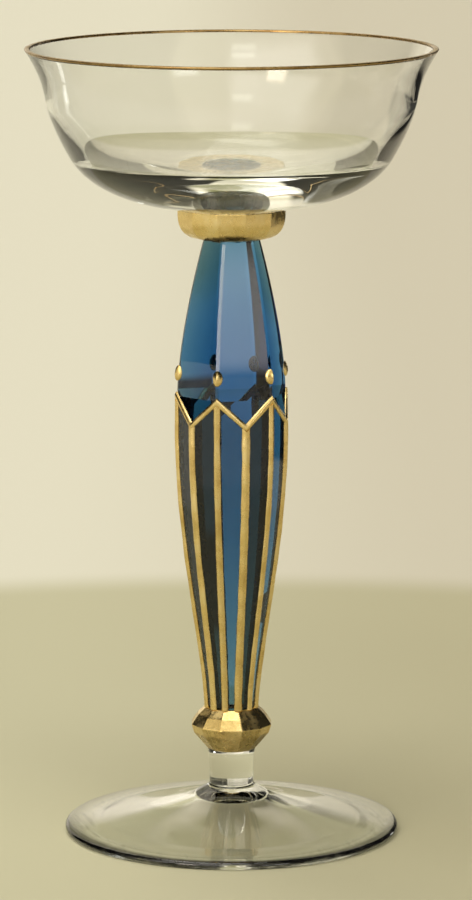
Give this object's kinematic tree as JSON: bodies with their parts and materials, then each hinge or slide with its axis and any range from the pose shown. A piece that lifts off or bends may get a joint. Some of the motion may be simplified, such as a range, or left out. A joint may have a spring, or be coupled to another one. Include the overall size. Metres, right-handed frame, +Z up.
{
  "type": "crystal cocktail glass",
  "caption": "Stemmed saucer glass: clear flared bowl, gilded collar, blue facet-cut baluster stem with raised gilding, gilded knop, clear conical foot.",
  "frame": {"origin": "centre of the foot's resting plane, on the glass's axis", "axes": "+Z up the stem to the bowl; one of the six broad facets of the stem faces -Y"},
  "size_m": [0.1, 0.1, 0.1938],
  "materials": {
    "clear_glass": "polished clear crystal",
    "blue_glass": "polished cut blue glass",
    "gilding": "burnished gold, slightly worn"
  },
  "bodies": {
    "root": {"foot": "clear_glass", "neck": "clear_glass", "knop": "gilding", "stem": "blue_glass", "zigzag_gilding": "gilding", "peak_line_1": "gilding", "valley_line_1": "gilding", "gilt_drop_1": "gilding", "peak_line_2": "gilding", "valley_line_2": "gilding", "gilt_drop_2": "gilding", "peak_line_3": "gilding", "valley_line_3": "gilding", "gilt_drop_3": "gilding", "peak_line_4": "gilding", "valley_line_4": "gilding", "gilt_drop_4": "gilding", "peak_line_5": "gilding", "valley_line_5": "gilding", "gilt_drop_5": "gilding", "peak_line_6": "gilding", "valley_line_6": "gilding", "gilt_drop_6": "gilding", "collar": "gilding", "bowl": "clear_glass", "lip_gilding": "gilding"}
  },
  "joints": []
}
